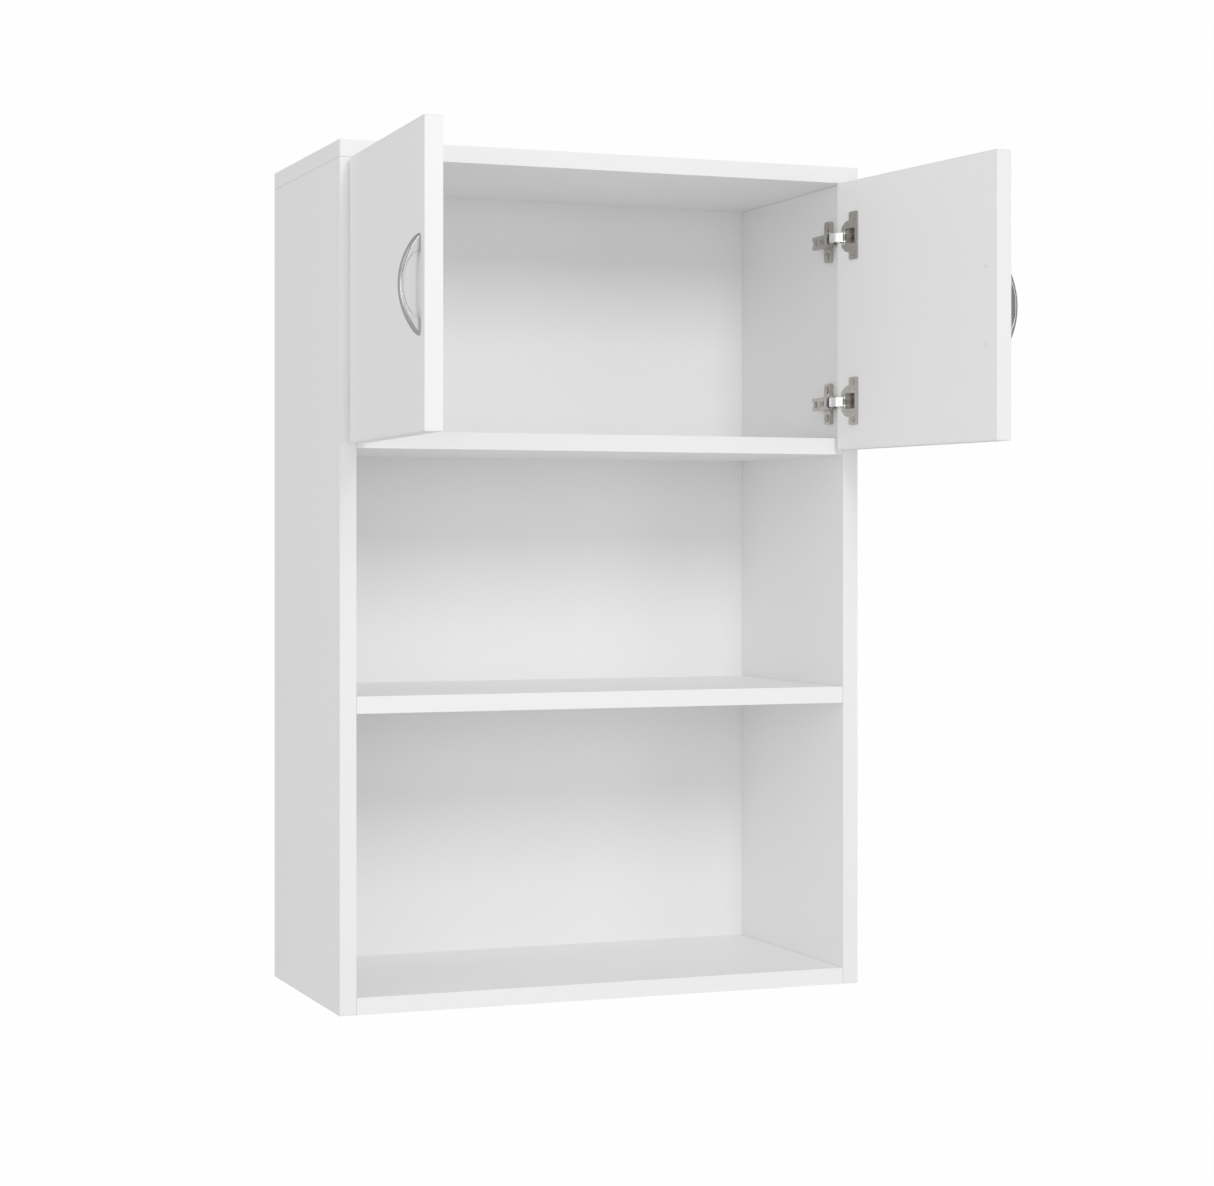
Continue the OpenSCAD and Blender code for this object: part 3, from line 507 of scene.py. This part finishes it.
def bow_handle(side):
    """An arched bow with a rounded section, flat feet and blunt tips, in place of the CAD bow."""
    along, outward = door_axes(side)
    (x0, x1), (y0, y1), (z0, z1) = [extent(side + "_handle", axis) for axis in (along, outward, UP)]
    half_len, rise, half_w = (z1 - z0) / 2, y1 - y0, (x1 - x0) / 2
    centre = along * (x0 + x1) / 2 + outward * y0 + UP * (z0 + z1) / 2
    shape = bmesh.new()
    rings = []
    for i in range(STATIONS + 1):
        # stations crowd towards the tips
        z = half_len * LAST_RING * math.sin(math.pi * (i / STATIONS - 0.5))
        section = bow_section(*bow_outline(z, half_len, half_w, rise))
        rings.append([shape.verts.new(centre + along * across + outward * out + UP * z)
                      for across, out in section])
    skin(shape, rings)
    bmesh.ops.remove_doubles(shape, verts=shape.verts, dist=SAME_PLACE)
    bmesh.ops.dissolve_degenerate(shape, edges=shape.edges, dist=NO_LENGTH)
    bmesh.ops.recalc_face_normals(shape, faces=shape.faces)
    mesh = bpy.data.meshes.new(side + "_bow_handle")
    shape.to_mesh(mesh)
    shape.free()
    mesh.shade_smooth()
    mesh.set_sharp_from_angle(angle=math.radians(SHARP_ANGLE))
    mesh.materials.append(SATIN)
    bow = bpy.data.objects.new(side + "_bow_handle", mesh)
    SCENE.collection.objects.link(bow)
    even = bow.modifiers.new("even_normals", "WEIGHTED_NORMAL")
    even.keep_sharp = True
    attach(bow, side + "_door")
    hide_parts(side + "_handle")


for door_side in SIDES:
    bow_handle(door_side)

# ---------------------------------------------------------------- camera

CAMERA_PLACE = (-1.0365, -2.9721, 0.4894)
CAMERA_TURN = -21.03                        # to the right of straight at the wall, in degrees
SENSOR_MM, LENS_MM = 36, 79.01
SHIFT_DOWN = 0.0379                         # the view's shift, as a share of its width

camera_data = bpy.data.cameras.new("camera")
camera = bpy.data.objects.new("camera", camera_data)
SCENE.collection.objects.link(camera)
camera.location = CAMERA_PLACE
camera.rotation_euler = (math.radians(90), 0, math.radians(CAMERA_TURN))
camera_data.sensor_width = SENSOR_MM
camera_data.lens = LENS_MM
camera_data.shift_y = -SHIFT_DOWN
SCENE.camera = camera

# ---------------------------------------------------------------- light and floor

VIEW_GAMMA = 1.4
LIGHT_WHITE = (1, 1, 1, 1)
SKY_EVEN, SKY_LEFT = 0.332, 0.30            # from all round, and added towards the left
TO_LEFT = (-1, 0, 0)
BACKDROP = 0.99
MIDDLE = Vector((0, -0.14, 0.46))           # of the cabinet, which the softboxes look at
BOX_SIZE, BOX_DISTANCE = 1.2, 4.0
# azimuth, elevation, watts
SOFTBOXES = {
    "front_high": (0, 28, 47.0),
    "front_low": (0, 3, 8.0),
    "half_left": (-30, 3, 7.5),
    "half_right": (30, 3, 13.5),
    "left_low": (-60, 3, 14.4),
    "left_high": (-60, 28, 5.0),
}
FLOOR_PLACE = (0, -0.2, -0.95)
FLOOR_R, FLOOR_SEGMENTS = 3.2, 96
FLOOR_FADES, FLOOR_GONE = 1.0, 2.6          # from the floor's middle
FLOOR_LIGHT, FLOOR_DARK = (0.87, 0.87, 0.872), (0.85, 0.85, 0.857)
FLOOR_MOTTLE, FLOOR_GRAIN, FLOOR_H = (2.3, 4, 0.6), (55, 4, 0.6), 0.0004


def build_world():
    """Even light with more from the left, and a plain backdrop that only the camera sees."""
    world = bpy.data.worlds.new("studio")
    SCENE.world = world
    world.use_nodes = True
    tree = world.node_tree
    tree.nodes.clear()
    ray = add_node(tree, "TexCoord", {}).outputs["Generated"]
    left = add_node(tree, "VectorMath", {0: ray, 1: TO_LEFT}, operation="DOT_PRODUCT").outputs["Value"]
    left_half = add_node(tree, "Math", {0: left, 1: 0.0}, operation="MAXIMUM").outputs[0]
    more = add_node(tree, "Math", {0: left_half, 1: SKY_LEFT}, operation="MULTIPLY").outputs[0]
    strength = add_node(tree, "Math", {0: more, 1: SKY_EVEN}, operation="ADD").outputs[0]
    sky = add_node(tree, "Background", {"Color": LIGHT_WHITE, "Strength": strength}).outputs[0]
    plain = add_node(tree, "Background", {"Color": LIGHT_WHITE, "Strength": BACKDROP}).outputs[0]
    seen = add_node(tree, "LightPath", {}).outputs["Is Camera Ray"]
    both = add_node(tree, "MixShader", {0: seen, 1: sky, 2: plain}).outputs[0]
    add_node(tree, "OutputWorld", {0: both})


def softbox(name, azimuth, elevation, watts):
    """A square softbox that looks at the cabinet's middle: azimuth 0 is straight in front of it, and 90 on
    its right."""
    turn, rise = math.radians(azimuth), math.radians(elevation)
    back = Vector((math.sin(turn) * math.cos(rise), -math.cos(turn) * math.cos(rise), math.sin(rise)))
    data = bpy.data.lights.new(name, "AREA")
    data.size = BOX_SIZE
    data.energy = watts
    box = bpy.data.objects.new(name, data)
    SCENE.collection.objects.link(box)
    box.location = MIDDLE + back * BOX_DISTANCE
    box.rotation_euler = (-back).to_track_quat("-Z", "Y").to_euler()


def build_floor():
    """A pale round floor that fades out into the backdrop."""
    mesh = bpy.data.meshes.new("studio_floor")
    shape = bmesh.new()
    bmesh.ops.create_circle(shape, cap_ends=True, segments=FLOOR_SEGMENTS, radius=FLOOR_R)
    shape.to_mesh(mesh)
    shape.free()
    floor = bpy.data.objects.new("studio_floor", mesh)
    SCENE.collection.objects.link(floor)
    floor.location = FLOOR_PLACE
    s = Shade("pale_floor", WHITE, Roughness=0.75, Specular_IOR_Level=0.2)
    s.set("Base Color", s.mix(s.noise(*FLOOR_MOTTLE), FLOOR_DARK, FLOOR_LIGHT))
    s.set("Normal", s.bump(s.math("MULTIPLY", s.noise(*FLOOR_GRAIN), FLOOR_H)))
    away = s.node("VectorMath", {0: s.coord}, out="Value", operation="LENGTH")
    s.set("Alpha", s.node("MapRange", {"Value": away, "From Min": FLOOR_FADES, "From Max": FLOOR_GONE,
                                       "To Min": 1.0, "To Max": 0.0}, interpolation_type="SMOOTHSTEP"))
    mesh.materials.append(s.mat)


SCENE.view_settings.view_transform = "Standard"
SCENE.view_settings.gamma = VIEW_GAMMA
build_world()
for box_name, placing in SOFTBOXES.items():
    softbox(box_name, *placing)
build_floor()
